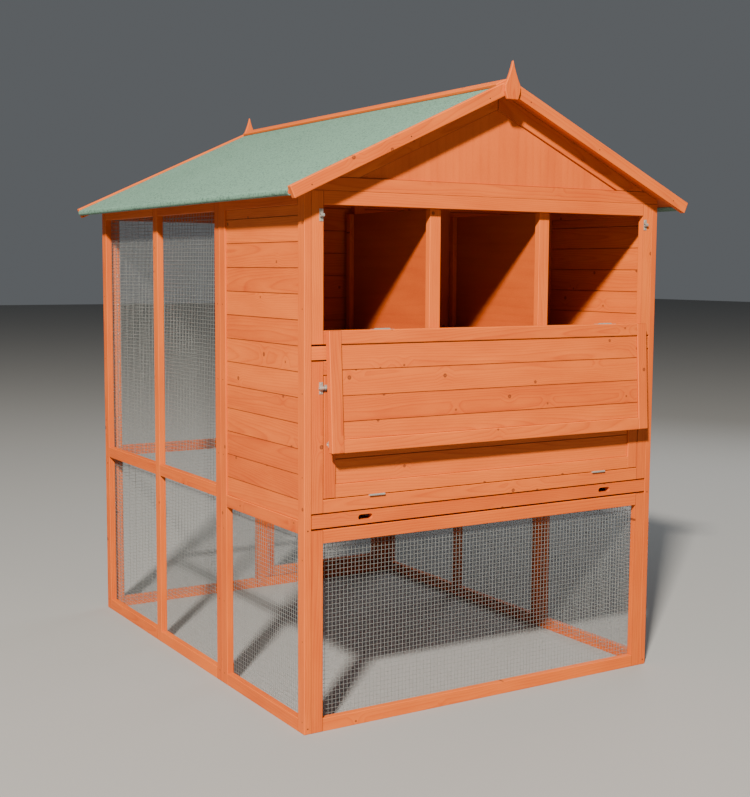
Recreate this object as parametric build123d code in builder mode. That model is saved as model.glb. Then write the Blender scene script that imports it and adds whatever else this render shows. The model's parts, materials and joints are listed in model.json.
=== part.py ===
"""Timber hutch on a wire run, with a boarded house, three nest boxes and a felted gable roof.

Millimetres, +Z up. The origin is on the ground under the middle of the hutch.
The house with its doors faces -Y, and the wire aviary is behind it.
"""
import os
from math import ceil, cos, radians, sin, tan

from build123d import *

# Overall plan, outside the walls
WIDTH = 1300.0
DEPTH = 1600.0
HOUSE_DEPTH = 548.0
WALL_TOP = 1528.0

# Timber sections
BATTEN = 38.0
THICK = 22.0
BOARD = 12.0
BOARD_PITCH = 72.0
BOARD_GAP = 0.8
BOARD_RECESS = 5.0
SIDE_BOARDS = 11
TOP_STRIP = 29.0
PLY = 9.0
NEST_PLY = 12.0

# Levels of the front, from the ground up
RUN_TOP = 584.0
TRAY_LOW = 590.0
TRAY_HIGH = 628.0
DOOR_PANEL_LOW = 632.0
DOOR_PANEL_TOP = 1059.0
MIDDLE_LOW = 1063.0
MIDDLE_TOP = 1101.0
NEST_LOW = 1106.0
SIDE_FLOOR = 573.0
AVIARY_RAIL = 594.0

# Fit of doors and tray
DOOR_GAP = 2.0
TRAY_END_GAP = 2.0
TRAY_FRONT = 18.0
TRAY_WALL = 8.0
TRAY_HALF = 598.0
TRAY_BACK = -300.0
TRAY_EASE = 4.0
RUNNER_IN = 604.0
RUNNER_HIGH = 18.0
RUNNER_EASE = 1.0
SLOT_X = 451.0
SLOT_LONG = 48.0
SLOT_HIGH = 16.0

# Flap that hangs open over the lower door
FLAP_LEAN = 3.4
FLAP_EASE = 3.0

# Nest boxes and the wall behind them
POST_X = 203.0
POST_FRONT = -776.0
DIVIDER_BACK = -317.0
WALL_FRAME_FRONT = -290.0
POP_HALF = 150.0
POP_TOP = 940.0
ENTRY_HALF = 80.0
ENTRY_LOW = 1180.0
ENTRY_HIGH = 1380.0
ENTRY_X = 405.0

# Roof
PITCH = 24.7
RIDGE = 1866.0
EAVE = 726.0
VERGE = 843.0
FELT = 2.5
FELT_DROP = 6.0
FELT_TUCK = 30.0
FELT_ROUND = 8.5
EAVE_EASE = 0.3
ROOF_BOARD = 15.0
BARGE_WIDTH = 36.0
BARGE_THICK = 18.0
RIDGE_BATTEN = 40.0
RIDGE_RISE = 10.0
GABLE_TRIM = 50.0
GABLE_RECESS = 6.0
MITRE = 0.5
FINIAL_TIP = 1919.0
FINIAL_FOOT = 1808.0
FINIAL_HALF = 27.0
FINIAL_FOOT_HALF = 19.5
FINIAL_WAIST = 22.0
FINIAL_SHOULDER = 40.0
FINIAL_BULGE = 2.5
FINIAL_THICK = 10.0

# Welded wire, drawn with about one strand in fifteen of the real 12.7 mm squares
WIRE = 1.6
STRAND = 2.4
WIRE_PITCH = 310.0
WIRE_LAP = 20.0
WIRE_EASE = 1.0
GATE_WIRE_IN = 4.0

# Hinges
FLAP_HINGES = (-401.0, 434.0)
DOOR_HINGES = (-414.0, 422.0)
HINGE_LONG = 52.0
KNUCKLE = 3.0
PIN = 1.2
PIN_FIT = 0.06
LEAF = 1.0
LEAF_DEEP = 20.0
LEAF_GAP = 0.4
KNUCKLE_GAP = 0.3
PIVOT_OUT = 3.5

# Barrel bolts
BOLT = 3.0
BOLT_FIT = 0.4
BOLT_RISE = 5.2
BOLT_LONG = 46.0
BOLT_BACK = 1.0
BOLT_THROW = 20.0
PLATE = 1.2
PLATE_HIGH = 18.0
LOOP_WALL = 1.6
LOOP_LONG = 5.0
TAB_WIDE = 10.0
TAB_THICK = 2.4
TAB_IN = 9.0
TAB_RISE = 12.5
KEEPER_OUT = 4.0
KEEPER_LONG = 12.0
KEEPER_HIGH = 34.0
FLAP_BOLT_DOWN = 26.0
DOOR_BOLT_DOWN = 34.0
BACK_BOLT_Z = 760.0

# Access door in the back panel
BACK_POST = 5.0
BACK_HINGES = (260.0, 1230.0)

# Places worked out from the sizes above
HALF = WIDTH / 2
FRONT = -DEPTH / 2
BACK = DEPTH / 2
INNER = HALF - THICK
OPENING = INNER - BATTEN
FRONT_IN = FRONT + THICK
BACK_IN = BACK - THICK
HOUSE_BACK = FRONT + HOUSE_DEPTH
TOP_RAIL = WALL_TOP - BATTEN
WALL_BOARD = WALL_FRAME_FRONT + THICK
DOOR_SIDE = OPENING - DOOR_GAP
SLOPE = radians(PITCH)
UNDERSIDE = FELT_DROP + FELT + ROOF_BOARD
HINGE_GAP = 2 * LEAF + LEAF_GAP
AVIARY_MIDDLE = (HOUSE_BACK + BACK) / 2

os.makedirs("parts", exist_ok=True)


def write(builder, name):
    """Label a finished piece and write it to its own file."""
    builder.part.label = name
    export_step(builder.part, f"parts/{name}.step")


def facing_front(y):
    """Upright plane at y, drawn in x and z, whose outward side is -Y."""
    return Plane(origin=(0, y, 0), x_dir=(1, 0, 0), z_dir=(0, -1, 0))


def facing_right(x):
    """Upright plane at x, drawn in y and z, whose outward side is +X."""
    return Plane(origin=(x, 0, 0), x_dir=(0, 1, 0), z_dir=(1, 0, 0))


def pieces(name, plane, thickness, spans, holes=()):
    """Battens or boards of one thickness, each given by its two spans on the plane."""
    with BuildPart() as timber:
        with BuildSketch(plane):
            for across, up in spans:
                with Locations(((across[0] + across[1]) / 2, (up[0] + up[1]) / 2)):
                    Rectangle(across[1] - across[0], up[1] - up[0])
            for across, up in holes:
                with Locations(((across[0] + across[1]) / 2, (up[0] + up[1]) / 2)):
                    Rectangle(across[1] - across[0], up[1] - up[0], mode=Mode.SUBTRACT)
        extrude(amount=thickness)
    write(timber, name)


def boards_between(across, low, high, first):
    """Spans of horizontal boards from low to high, with the first joint at the height given."""
    spans = []
    bottom = low
    joint = first
    while bottom < high:
        top = min(joint, high)
        last = top == high
        spans.append((across, (bottom, top if last else top - BOARD_GAP)))
        bottom = top
        joint += BOARD_PITCH
    return spans


def wire_sheet(across, up):
    """Sketch one sheet of welded wire, with its edge strands and even squares."""
    wide = across[1] - across[0]
    high = up[1] - up[0]
    columns = ceil(wide / WIRE_PITCH)
    rows = ceil(high / WIRE_PITCH)
    step_x = (wide - STRAND) / columns
    step_z = (high - STRAND) / rows
    with Locations(((across[0] + across[1]) / 2, (up[0] + up[1]) / 2)):
        Rectangle(wide, high)
        with GridLocations(step_x, step_z, columns, rows):
            Rectangle(step_x - STRAND, step_z - STRAND, mode=Mode.SUBTRACT)


def wire(name, planes, sheets):
    """A node of flat wire sheets, the same on each plane."""
    with BuildPart() as mesh:
        for plane in planes:
            with BuildSketch(plane):
                for across, up in sheets:
                    wire_sheet(across, up)
            extrude(amount=WIRE)
    write(mesh, name)


# Side walls: a house panel with boards over an open run, and a wire aviary panel behind it
house_inside = (FRONT + BATTEN, HOUSE_BACK - BATTEN)
house_stiles = [
    ((FRONT, house_inside[0]), (0, WALL_TOP)),
    ((house_inside[1], HOUSE_BACK), (0, WALL_TOP)),
]
house_rails = [
    (house_inside, (0, BATTEN)),
    (house_inside, (SIDE_FLOOR, SIDE_FLOOR + BATTEN)),
    (house_inside, (TOP_RAIL, WALL_TOP)),
]
side_joint = TOP_RAIL - TOP_STRIP - SIDE_BOARDS * BOARD_PITCH
side_boards = boards_between(house_inside, SIDE_FLOOR + BATTEN, TOP_RAIL, side_joint)
aviary_front = (HOUSE_BACK, HOUSE_BACK + BATTEN)
aviary_middle = (AVIARY_MIDDLE - BATTEN / 2, AVIARY_MIDDLE + BATTEN / 2)
aviary_back = (BACK - BATTEN, BACK)
aviary_stiles = [(stile, (0, WALL_TOP)) for stile in (aviary_front, aviary_middle, aviary_back)]
aviary_rails = [
    (bay, (low, low + BATTEN))
    for bay in ((aviary_front[1], aviary_middle[0]), (aviary_middle[1], aviary_back[0]))
    for low in (0, AVIARY_RAIL, TOP_RAIL)
]
wire_low = BATTEN - WIRE_LAP
wire_top = TOP_RAIL + WIRE_LAP
run_sheet = (FRONT_IN + WIRE + WIRE_EASE, house_inside[1] + WIRE_LAP)
aviary_sheet = (aviary_front[1] - WIRE_LAP, BACK_IN - WIRE - WIRE_EASE)
side_sheets = [
    (run_sheet, (wire_low, SIDE_FLOOR + WIRE_LAP)),
    (aviary_sheet, (wire_low, wire_top)),
]
for side, outer, board_face in (
    ("left", -HALF, -HALF + BOARD_RECESS),
    ("right", INNER, HALF - BOARD_RECESS - BOARD),
):
    pieces(f"{side}_house_stiles", facing_right(outer), THICK, house_stiles)
    pieces(f"{side}_house_rails", facing_right(outer), THICK, house_rails)
    pieces(f"{side}_house_boards", facing_right(board_face), BOARD, side_boards)
    pieces(f"{side}_aviary_stiles", facing_right(outer), THICK, aviary_stiles)
    pieces(f"{side}_aviary_rails", facing_right(outer), THICK, aviary_rails)
wire("side_wire", (facing_right(-INNER), facing_right(INNER - WIRE)), side_sheets)

# Front of the run under the house
front_stiles = [((-INNER, -OPENING), (0, RUN_TOP)), ((OPENING, INNER), (0, RUN_TOP))]
front_rails = [((-OPENING, OPENING), (0, BATTEN)), ((-OPENING, OPENING), (RUN_TOP - BATTEN, RUN_TOP))]
pieces("front_run_stiles", facing_front(FRONT_IN), THICK, front_stiles)
pieces("front_run_rails", facing_front(FRONT_IN), THICK, front_rails)
front_span = (-OPENING - WIRE_LAP, OPENING + WIRE_LAP)
front_up = (wire_low, RUN_TOP - BATTEN + WIRE_LAP)
wire("front_wire", (facing_front(FRONT_IN + WIRE),), [(front_span, front_up)])

# Back panel: a fixed wire bay, and the opening for the access door
back_bay = (-OPENING, BACK_POST - BATTEN / 2)
back_post = (BACK_POST - BATTEN / 2, BACK_POST + BATTEN / 2)
back_opening = (back_post[1], OPENING)
back_stiles = [(stile, (0, WALL_TOP)) for stile in ((-INNER, -OPENING), back_post, (OPENING, INNER))]
back_rails = [(back_bay, (low, low + BATTEN)) for low in (0, AVIARY_RAIL, TOP_RAIL)]
back_rails += [(back_opening, (low, low + BATTEN)) for low in (0, TOP_RAIL)]
pieces("back_stiles", facing_front(BACK), THICK, back_stiles)
pieces("back_rails", facing_front(BACK), THICK, back_rails)
bay_span = (-OPENING - WIRE_LAP, back_post[0] + WIRE_LAP)
wire("back_wire", (facing_front(BACK_IN),), [(bay_span, (wire_low, wire_top))])

# Access door in the back panel
gate = (back_opening[0] + DOOR_GAP, back_opening[1] - HINGE_GAP)
gate_up = (BATTEN + DOOR_GAP, TOP_RAIL - DOOR_GAP)
gate_inside = (gate[0] + BATTEN, gate[1] - BATTEN)
gate_stiles = [((gate[0], gate_inside[0]), gate_up), ((gate_inside[1], gate[1]), gate_up)]
gate_rails = [
    (gate_inside, (low, low + BATTEN)) for low in (gate_up[0], AVIARY_RAIL, gate_up[1] - BATTEN)
]
gate_span = (gate[0] + GATE_WIRE_IN, gate[1] - GATE_WIRE_IN)
gate_wire_up = (gate_up[0] + GATE_WIRE_IN, gate_up[1] - GATE_WIRE_IN)
pieces("access_door_stiles", facing_front(BACK), THICK, gate_stiles)
pieces("access_door_rails", facing_front(BACK), THICK, gate_rails)
wire("access_door_wire", (facing_front(BACK_IN),), [(gate_span, gate_wire_up)])

# Wall between the house and the aviary, with a pop hole and an entry to each nest
pop_post = POP_HALF + BATTEN
studs = [(-INNER, -OPENING), (-pop_post, -POP_HALF), (POP_HALF, pop_post), (OPENING, INNER)]
pieces(
    "rear_wall_studs",
    facing_front(WALL_BOARD),
    THICK,
    [(stud, (SIDE_FLOOR + BATTEN, WALL_TOP)) for stud in studs],
)
wall_holes = [((-POP_HALF, POP_HALF), (SIDE_FLOOR + BATTEN, POP_TOP))]
wall_holes += [((x - ENTRY_HALF, x + ENTRY_HALF), (ENTRY_LOW, ENTRY_HIGH)) for x in (-ENTRY_X, 0, ENTRY_X)]
pieces(
    "rear_wall_boards",
    facing_front(WALL_BOARD + BOARD),
    BOARD,
    boards_between((-INNER, INNER), SIDE_FLOOR, WALL_TOP, SIDE_FLOOR + BOARD_PITCH),
    wall_holes,
)

# Runners and a sill for the tray, and cleats for the nest floor
nest_underside = MIDDLE_TOP - NEST_PLY
with BuildPart() as floor_runners:
    runner_wide = INNER - WIRE - RUNNER_IN
    with BuildSketch(Plane.XY.offset(TRAY_LOW - RUNNER_EASE)):
        with Locations((0, (FRONT_IN + WALL_BOARD) / 2)):
            with GridLocations(2 * RUNNER_IN + runner_wide, 0, 2, 1):
                Rectangle(runner_wide, WALL_BOARD - FRONT_IN)
        with Locations((0, FRONT_IN + THICK / 2)):
            Rectangle(2 * (RUNNER_IN - RUNNER_EASE), THICK)
    extrude(amount=-RUNNER_HIGH)
    with BuildSketch(Plane.XY.offset(nest_underside)):
        with Locations((0, (FRONT_IN + WALL_FRAME_FRONT) / 2)):
            with GridLocations(2 * INNER - THICK, 0, 2, 1):
                Rectangle(THICK, WALL_FRAME_FRONT - FRONT_IN)
    extrude(amount=-THICK)
write(floor_runners, "floor_runners")

# Tray that makes the floor of the house, with two finger slots through its front
tray_middle = (TRAY_LOW + TRAY_HIGH) / 2
pan_front = FRONT + TRAY_FRONT
with BuildPart() as tray_front:
    with BuildSketch(facing_front(pan_front)):
        with Locations((0, tray_middle)):
            Rectangle(2 * (INNER - TRAY_END_GAP), TRAY_HIGH - TRAY_LOW)
            with GridLocations(2 * SLOT_X, 0, 2, 1):
                SlotOverall(SLOT_LONG, SLOT_HIGH, mode=Mode.SUBTRACT)
    extrude(amount=TRAY_FRONT)
write(tray_front, "tray_front")

with BuildPart() as tray_pan:
    with BuildSketch(Plane.XY.offset(TRAY_LOW)):
        with Locations((0, (TRAY_BACK + pan_front) / 2)):
            Rectangle(2 * TRAY_HALF, TRAY_BACK - pan_front)
    extrude(amount=TRAY_HIGH - TRAY_LOW - TRAY_EASE)
    offset(amount=-TRAY_WALL, openings=tray_pan.faces().sort_by(Axis.Z)[-1])
    with BuildSketch(facing_front(pan_front + TRAY_WALL)):
        with Locations((0, tray_middle)):
            with GridLocations(2 * SLOT_X, 0, 2, 1):
                Rectangle(SLOT_LONG, SLOT_HIGH)
    extrude(amount=TRAY_WALL, mode=Mode.SUBTRACT)
write(tray_pan, "tray_pan")

# Lower door panel: its surround, and the boarded door that fills it
door_opening = (DOOR_PANEL_LOW + BATTEN, DOOR_PANEL_TOP - BATTEN)
surround_up = (DOOR_PANEL_LOW, DOOR_PANEL_TOP)
pieces(
    "door_surround_stiles",
    facing_front(FRONT_IN),
    THICK,
    [((-INNER, -OPENING), surround_up), ((OPENING, INNER), surround_up)],
)
pieces(
    "door_surround_rails",
    facing_front(FRONT_IN),
    THICK,
    [((-OPENING, OPENING), (low, low + BATTEN)) for low in (DOOR_PANEL_LOW, door_opening[1])],
)
door_up = (door_opening[0] + HINGE_GAP, door_opening[1] - DOOR_GAP)
door_inside = (-DOOR_SIDE + BATTEN, DOOR_SIDE - BATTEN)
pieces(
    "lower_door_stiles",
    facing_front(FRONT_IN),
    THICK,
    [((-DOOR_SIDE, door_inside[0]), door_up), ((door_inside[1], DOOR_SIDE), door_up)],
)
pieces(
    "lower_door_rails",
    facing_front(FRONT_IN),
    THICK,
    [(door_inside, (low, low + BATTEN)) for low in (door_up[0], door_up[1] - BATTEN)],
)
door_board_low = door_up[0] + BATTEN
pieces(
    "lower_door_boards",
    facing_front(FRONT + BOARD_RECESS + BOARD),
    BOARD,
    boards_between(door_inside, door_board_low, door_up[1] - BATTEN, door_board_low + BOARD_PITCH),
)

# Middle rail between the two front panels, and the nest floor behind it
pieces("middle_rail", facing_front(FRONT_IN), THICK, [((-INNER, INNER), (MIDDLE_LOW, MIDDLE_TOP))])
with BuildPart() as nest_floor:
    with BuildSketch(Plane.XY.offset(nest_underside)):
        with Locations((0, (FRONT_IN + WALL_FRAME_FRONT) / 2)):
            Rectangle(2 * INNER, WALL_FRAME_FRONT - FRONT_IN)
    extrude(amount=NEST_PLY)
write(nest_floor, "nest_floor")

# Nest box front: the frame round the opening, two posts, and the dividers behind them
nest_up = (NEST_LOW, WALL_TOP)
pieces(
    "nest_frame_stiles",
    facing_front(FRONT_IN),
    THICK,
    [((-INNER, -OPENING), nest_up), ((OPENING, INNER), nest_up)],
)
pieces(
    "nest_frame_rails",
    facing_front(FRONT_IN),
    THICK,
    [((-OPENING, OPENING), (low, low + BATTEN)) for low in (NEST_LOW, TOP_RAIL)],
)
with BuildPart() as nest_posts:
    for front in (POST_FRONT, DIVIDER_BACK):
        with BuildSketch(facing_front(front + THICK)):
            with Locations((0, (MIDDLE_TOP + TOP_RAIL) / 2)):
                with GridLocations(2 * POST_X, 0, 2, 1):
                    Rectangle(BATTEN, TOP_RAIL - MIDDLE_TOP)
        extrude(amount=THICK)
write(nest_posts, "nest_posts")
pieces(
    "nest_dividers",
    facing_front(DIVIDER_BACK),
    DIVIDER_BACK - POST_FRONT - THICK,
    [((x - PLY / 2, x + PLY / 2), (MIDDLE_TOP, TOP_RAIL)) for x in (-POST_X, POST_X)],
)

# Flap over the nest boxes, drawn on a plane through its hinge line and hanging open
flap_pivot = (0, FRONT - PIVOT_OUT, NEST_LOW + BATTEN + LEAF + LEAF_GAP / 2)
lean = radians(FLAP_LEAN)
flap_plane = Plane(origin=flap_pivot, x_dir=(1, 0, 0), z_dir=(0, cos(lean), -sin(lean)))
flap_near = LEAF + LEAF_GAP / 2
flap_far = TOP_RAIL - flap_pivot[2] - FLAP_EASE
flap_up = (flap_near, flap_far)
flap_inner_face = flap_plane.offset(-PIVOT_OUT - THICK)
pieces(
    "flap_stiles",
    flap_inner_face,
    THICK,
    [((-DOOR_SIDE, door_inside[0]), flap_up), ((door_inside[1], DOOR_SIDE), flap_up)],
)
pieces(
    "flap_rails",
    flap_inner_face,
    THICK,
    [(door_inside, (flap_near, flap_near + BATTEN)), (door_inside, (flap_far - BATTEN, flap_far))],
)
flap_board_low = flap_near + BATTEN
pieces(
    "flap_boards",
    flap_inner_face.offset(BOARD_RECESS),
    BOARD,
    boards_between(door_inside, flap_board_low, flap_far - BATTEN, flap_board_low + BOARD_PITCH),
)


# Butt hinges: the fixed leaf holds the pin, and the moving leaf turns on it
def hinge_leaf(plane, along, ends):
    """Leaves on a plane through the pin: x along the pin, y away from it. Ends name their knuckles."""
    third = HINGE_LONG / 3
    for x in along:
        with BuildSketch(plane) as outline:
            with Locations((x, PIVOT_OUT + LEAF_DEEP / 2)):
                Rectangle(HINGE_LONG, LEAF_DEEP - 2 * LEAF_GAP)
            for end in ends:
                with Locations((x + end * third, PIVOT_OUT / 2 + LEAF_GAP)):
                    Rectangle(third - 2 * KNUCKLE_GAP, PIVOT_OUT + 2 * LEAF_GAP)
        extrude(outline.sketch, amount=LEAF)


def knuckles(pin_plane, along, ends):
    """Round knuckles about the pin, on a plane across it."""
    third = HINGE_LONG / 3
    for x in along:
        for end in ends:
            with BuildSketch(pin_plane.offset(x + end * third - third / 2 + KNUCKLE_GAP)) as ring:
                Circle(KNUCKLE)
            extrude(ring.sketch, amount=third - 2 * KNUCKLE_GAP)


def pins(pin_plane, along, radius, mode):
    """The hinge pin, from end to end of the knuckles."""
    for x in along:
        with BuildSketch(pin_plane.offset(x - HINGE_LONG / 2 + KNUCKLE_GAP)) as ring:
            Circle(radius)
        extrude(ring.sketch, amount=HINGE_LONG - 2 * KNUCKLE_GAP, mode=mode)


def moving_leaves(name, pin_plane, plane, along):
    """The leaves on the door's side of a hinge line."""
    with BuildPart() as leaves:
        hinge_leaf(plane, along, (0,))
        knuckles(pin_plane, along, (0,))
        pins(pin_plane, along, PIN + PIN_FIT, Mode.SUBTRACT)
    write(leaves, name)


door_pivot = (0, FRONT - PIVOT_OUT, door_opening[0] + HINGE_GAP / 2)
gate_pivot = (OPENING - HINGE_GAP / 2, BACK + PIVOT_OUT, 0)
flap_pin = Plane(origin=flap_pivot, x_dir=(0, 1, 0), z_dir=(1, 0, 0))
door_pin = Plane(origin=door_pivot, x_dir=(0, 1, 0), z_dir=(1, 0, 0))
gate_pin = Plane(origin=gate_pivot, x_dir=(0, 1, 0), z_dir=(0, 0, 1))
flap_sill = Plane(origin=flap_pivot, x_dir=(1, 0, 0), z_dir=(0, 0, 1))
flap_edge = Plane(origin=flap_pivot, x_dir=(1, 0, 0), z_dir=(0, -sin(lean), -cos(lean)))
door_sill = Plane(origin=door_pivot, x_dir=(1, 0, 0), z_dir=(0, 0, 1))
gate_jamb = Plane(origin=gate_pivot, x_dir=(0, 0, 1), z_dir=(1, 0, 0))
near_leaf = LEAF_GAP / 2
far_leaf = -LEAF - LEAF_GAP / 2

with BuildPart() as frame_hinge_leaves:
    for pin_plane, leaf_plane, along in (
        (flap_pin, flap_sill.offset(far_leaf), FLAP_HINGES),
        (door_pin, door_sill.offset(far_leaf), DOOR_HINGES),
        (gate_pin, gate_jamb.offset(near_leaf), BACK_HINGES),
    ):
        hinge_leaf(leaf_plane, along, (-1, 1))
        knuckles(pin_plane, along, (-1, 1))
        pins(pin_plane, along, PIN, Mode.ADD)
write(frame_hinge_leaves, "frame_hinge_leaves")
moving_leaves("flap_hinge_leaves", flap_pin, flap_edge.offset(near_leaf), FLAP_HINGES)
moving_leaves("lower_door_hinge_leaves", door_pin, door_sill.offset(near_leaf), DOOR_HINGES)
moving_leaves("access_door_hinge_leaves", gate_pin, gate_jamb.offset(far_leaf), BACK_HINGES)


# Barrel bolts: x on each plane is the way the bolt is shot, from the door's free edge
def across_bolt(plane, x):
    """Plane across the bolt's axis, at a place along it."""
    origin = plane.from_local_coords((x, 0, 0))
    return Plane(origin=origin, x_dir=plane.y_dir, z_dir=plane.x_dir)


def arch(half, mode):
    """Sketch a straight-sided arch that stands on the plate, round about the bolt."""
    with BuildLine() as outline:
        Line((-half, BOLT_RISE), (-half, 0))
        Line((-half, 0), (half, 0))
        Line((half, 0), (half, BOLT_RISE))
        ThreePointArc((half, BOLT_RISE), (0, BOLT_RISE + half), (-half, BOLT_RISE))
    make_face(outline.edges(), mode=mode)


def bolt_loop(plane, x, long):
    """A strap bent to an arch, which guides the bolt."""
    with BuildSketch(across_bolt(plane, x)) as strap:
        arch(BOLT + BOLT_FIT + LOOP_WALL, Mode.ADD)
        arch(BOLT + BOLT_FIT, Mode.SUBTRACT)
    extrude(strap.sketch, amount=long)


def bolt_plate(plane):
    """A bolt's back plate, as wide as the stile that it is screwed to, with its two loops."""
    with BuildSketch(plane) as outline:
        with Locations((-BATTEN / 2, 0)):
            Rectangle(BATTEN, PLATE_HIGH)
    extrude(outline.sketch, amount=PLATE)
    bolt_loop(plane, -BATTEN, LOOP_LONG)
    bolt_loop(plane, -LOOP_LONG, LOOP_LONG)


def keeper(plane):
    """The loop and plate that the shot bolt enters."""
    with BuildSketch(plane) as outline:
        with Locations((KEEPER_OUT + KEEPER_LONG / 2, 0)):
            Rectangle(KEEPER_LONG, KEEPER_HIGH)
    extrude(outline.sketch, amount=PLATE)
    bolt_loop(plane, KEEPER_OUT, KEEPER_LONG)


def bolt_rod(name, plane, shot):
    """The round bolt with its thumb tab, drawn back or shot."""
    with BuildPart() as rod:
        with BuildSketch(across_bolt(plane, shot - BOLT_BACK - BOLT_LONG)):
            with Locations((0, BOLT_RISE)):
                Circle(BOLT)
        extrude(amount=BOLT_LONG)
        with BuildSketch(plane.offset(BOLT_RISE)):
            with Locations((shot - BATTEN + TAB_IN, 0)):
                Rectangle(TAB_THICK, TAB_WIDE)
        extrude(amount=TAB_RISE - BOLT_RISE)
    write(rod, name)


flap_bolt_at = flap_far - FLAP_BOLT_DOWN
flap_bolt_origin = flap_plane.from_local_coords((0, flap_bolt_at, -PIVOT_OUT))
door_bolt_z = door_up[1] - DOOR_BOLT_DOWN
flap_bolts = []
flap_keepers = []
door_bolts = []
for side in (-1, 1):
    across = side * DOOR_SIDE
    outwards = (0, -1, 0)
    flap_bolts.append(
        Plane(origin=flap_bolt_origin + Vector(across, 0, 0), x_dir=(side, 0, 0), z_dir=flap_plane.z_dir)
    )
    flap_keepers.append(
        Plane(origin=(across, FRONT, flap_pivot[2] + flap_bolt_at), x_dir=(side, 0, 0), z_dir=outwards)
    )
    door_bolts.append(Plane(origin=(across, FRONT, door_bolt_z), x_dir=(side, 0, 0), z_dir=outwards))
gate_bolt = Plane(origin=(gate[0], BACK, BACK_BOLT_Z), x_dir=(-1, 0, 0), z_dir=(0, 1, 0))

with BuildPart() as bolt_keepers:
    for plane in flap_keepers + door_bolts + [gate_bolt]:
        keeper(plane)
    for plane in door_bolts:
        bolt_plate(plane)
write(bolt_keepers, "bolt_keepers")
with BuildPart() as flap_bolt_plates:
    for plane in flap_bolts:
        bolt_plate(plane)
write(flap_bolt_plates, "flap_bolt_plates")
with BuildPart() as access_door_bolt_plate:
    bolt_plate(gate_bolt)
write(access_door_bolt_plate, "access_door_bolt_plate")
for side, flap_bolt, door_bolt in zip(("left", "right"), flap_bolts, door_bolts):
    bolt_rod(f"flap_bolt_{side}", flap_bolt, 0)
    bolt_rod(f"lower_door_bolt_{side}", door_bolt, BOLT_THROW)
bolt_rod("access_door_bolt", gate_bolt, 0)


# Roof
def roof_z(x, drop):
    """Height over x of a line that lies a square distance under the top edge of the bargeboards."""
    return RIDGE - abs(x) * tan(SLOPE) - drop / cos(SLOPE)


def roof_x(z, drop):
    """How far out from the ridge that line comes down to a height."""
    return (RIDGE - drop / cos(SLOPE) - z) / tan(SLOPE)


def mirrored(points):
    """Sketch an outline on the right of the ridge and its mirror image on the left."""
    Polygon(*points, align=None)
    Polygon(*[(-x, z) for x, z in reversed(points)], align=None)


eave_in = EAVE - FELT
felt_under = FELT_DROP + FELT
board_end = eave_in - EAVE_EASE
tuck_in = eave_in - FELT_TUCK
tuck_under = UNDERSIDE + FELT
with BuildPart() as wall_plates:
    with BuildSketch(facing_front(BACK_IN)):
        plate_in = HALF - BATTEN
        mirrored(
            [
                (plate_in, WALL_TOP),
                (HALF, WALL_TOP),
                (HALF, roof_z(HALF, UNDERSIDE)),
                (plate_in, roof_z(plate_in, UNDERSIDE)),
            ]
        )
    extrude(amount=2 * BACK_IN)
write(wall_plates, "wall_plates")

with BuildPart() as roof_boards:
    with BuildSketch(facing_front(VERGE)) as board_ends:
        mirrored(
            [
                (MITRE, roof_z(MITRE, UNDERSIDE)),
                (board_end, roof_z(board_end, UNDERSIDE)),
                (board_end, roof_z(board_end, felt_under)),
                (MITRE, roof_z(MITRE, felt_under)),
            ]
        )
        across_roof = board_ends.vertices().group_by(Axis.X)
        fillet(across_roof[0] + across_roof[-1], FELT_ROUND - FELT)
    extrude(amount=2 * VERGE)
write(roof_boards, "roof_boards")

# Felt, which goes round the eaves and is tucked under the boards
with BuildPart() as roof_felt:
    with BuildSketch(facing_front(VERGE)) as felt_ends:
        mirrored(
            [
                (MITRE, roof_z(MITRE, felt_under)),
                (eave_in, roof_z(eave_in, felt_under)),
                (eave_in, roof_z(eave_in, UNDERSIDE)),
                (tuck_in, roof_z(tuck_in, UNDERSIDE)),
                (tuck_in, roof_z(tuck_in, tuck_under)),
                (EAVE, roof_z(EAVE, tuck_under)),
                (EAVE, roof_z(EAVE, FELT_DROP)),
                (MITRE, roof_z(MITRE, FELT_DROP)),
            ]
        )
        inner_corners = felt_ends.vertices().group_by(Axis.X)
        fillet(inner_corners[1] + inner_corners[-2], FELT_ROUND - FELT)
        outer_corners = felt_ends.vertices().group_by(Axis.X)
        fillet(outer_corners[0] + outer_corners[-1], FELT_ROUND)
    extrude(amount=2 * VERGE)
write(roof_felt, "roof_felt")

ridge_out = RIDGE_BATTEN * cos(SLOPE)
ridge_square = RIDGE_RISE * sin(SLOPE)
ridge_top = FELT_DROP - RIDGE_RISE
with BuildPart() as ridge_battens:
    with BuildSketch(facing_front(VERGE)):
        mirrored(
            [
                (MITRE, roof_z(MITRE, FELT_DROP)),
                (ridge_out, roof_z(ridge_out, FELT_DROP)),
                (ridge_out + ridge_square, roof_z(ridge_out + ridge_square, ridge_top)),
                (MITRE, roof_z(MITRE, ridge_top)),
            ]
        )
    extrude(amount=2 * VERGE)
write(ridge_battens, "ridge_battens")

barge_end = EAVE - BARGE_WIDTH * sin(SLOPE)
with BuildPart() as bargeboards:
    for y in (VERGE + BARGE_THICK, -VERGE):
        with BuildSketch(facing_front(y)):
            mirrored(
                [
                    (MITRE, roof_z(MITRE, BARGE_WIDTH)),
                    (barge_end, roof_z(barge_end, BARGE_WIDTH)),
                    (EAVE, roof_z(EAVE, 0)),
                    (MITRE, roof_z(MITRE, 0)),
                ]
            )
        extrude(amount=BARGE_THICK)
write(bargeboards, "bargeboards")

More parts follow.
